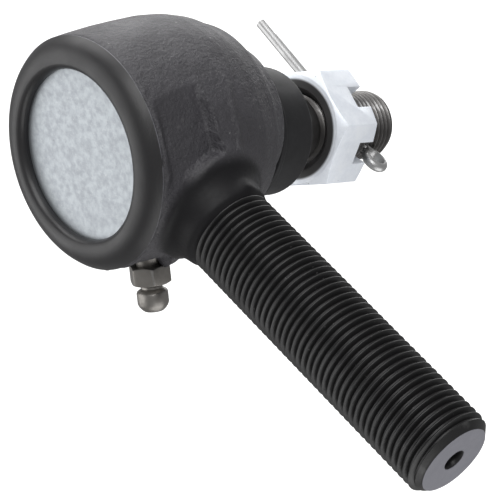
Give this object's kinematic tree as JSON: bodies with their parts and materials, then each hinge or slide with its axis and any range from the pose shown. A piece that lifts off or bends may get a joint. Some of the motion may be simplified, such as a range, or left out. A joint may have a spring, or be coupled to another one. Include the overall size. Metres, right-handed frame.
{
  "type": "tie rod end",
  "caption": "Ball joint for a steering tie rod: forged housing with a threaded shank, tapered ball stud, slotted nut, cotter pin, dust boot and grease fitting.",
  "frame": {"origin": "centre of the ball, on the shank's axis", "axes": "+X along the shank towards its threaded end, +Z along the housing's axis out through the end cap; the stud hangs towards -Z and leans 11.4 degrees towards -Y at rest"},
  "size_m": [0.1339, 0.0567, 0.0947],
  "materials": {
    "forged_steel": "black oxide over a forged surface, turned rim",
    "zinc_cap": "zinc plated sheet, mottled",
    "zinc_nut": "bright zinc plate",
    "pin_wire": "zinc plated wire",
    "stud_steel": "oiled machined steel",
    "ring_steel": "phosphated steel",
    "fitting_steel": "dull zinc plate",
    "spring_steel": "hardened steel",
    "bearing": "sintered bronze",
    "boot_rubber": "matte moulded rubber"
  },
  "bodies": {
    "housing": {"housing": "forged_steel", "end_cap": "zinc_cap", "preload_spring": "spring_steel", "socket_seat": "bearing", "grease_fitting": "fitting_steel", "grease_check_spring": "spring_steel"},
    "boot": {"dust_boot": "boot_rubber"},
    "collar": {"boot_ring": "ring_steel"},
    "stud": {"ball_stud": "stud_steel", "castle_nut": "zinc_nut", "cotter_pin": "pin_wire"},
    "seat": {"pressure_seat": "bearing"},
    "check_ball": {"grease_check_ball": "spring_steel"}
  },
  "joints": [
    {"name": "stud_lean", "type": "hinge", "parent": "housing", "child": "boot", "pos_m": [0, 0, 0], "axis": [1, 0, 0], "range_deg": [-0.3, 23.1]},
    {"name": "stud_sway", "type": "hinge", "parent": "boot", "child": "collar", "pos_m": [0, 0, 0], "axis": [0, 0.9803, -0.1977], "range_deg": [-10, 10], "deforming": ["dust_boot"]},
    {"name": "stud_spin", "type": "hinge", "parent": "collar", "child": "stud", "pos_m": [0, 0, 0], "axis": [0, -0.1977, -0.9803], "continuous": true},
    {"name": "seat_lift", "type": "slide", "parent": "housing", "child": "seat", "axis": [0, 0, 1], "range_m": [0, 0.0005], "stiffness_N_per_m": 4000, "springref_m": -0.001, "deforming": ["preload_spring"]},
    {"name": "check_ball_slide", "type": "slide", "parent": "housing", "child": "check_ball", "axis": [-0.5592, 0.829, 0], "range_m": [0, 0.001], "stiffness_N_per_m": 20, "springref_m": -0.001, "deforming": ["grease_check_spring"]}
  ]
}
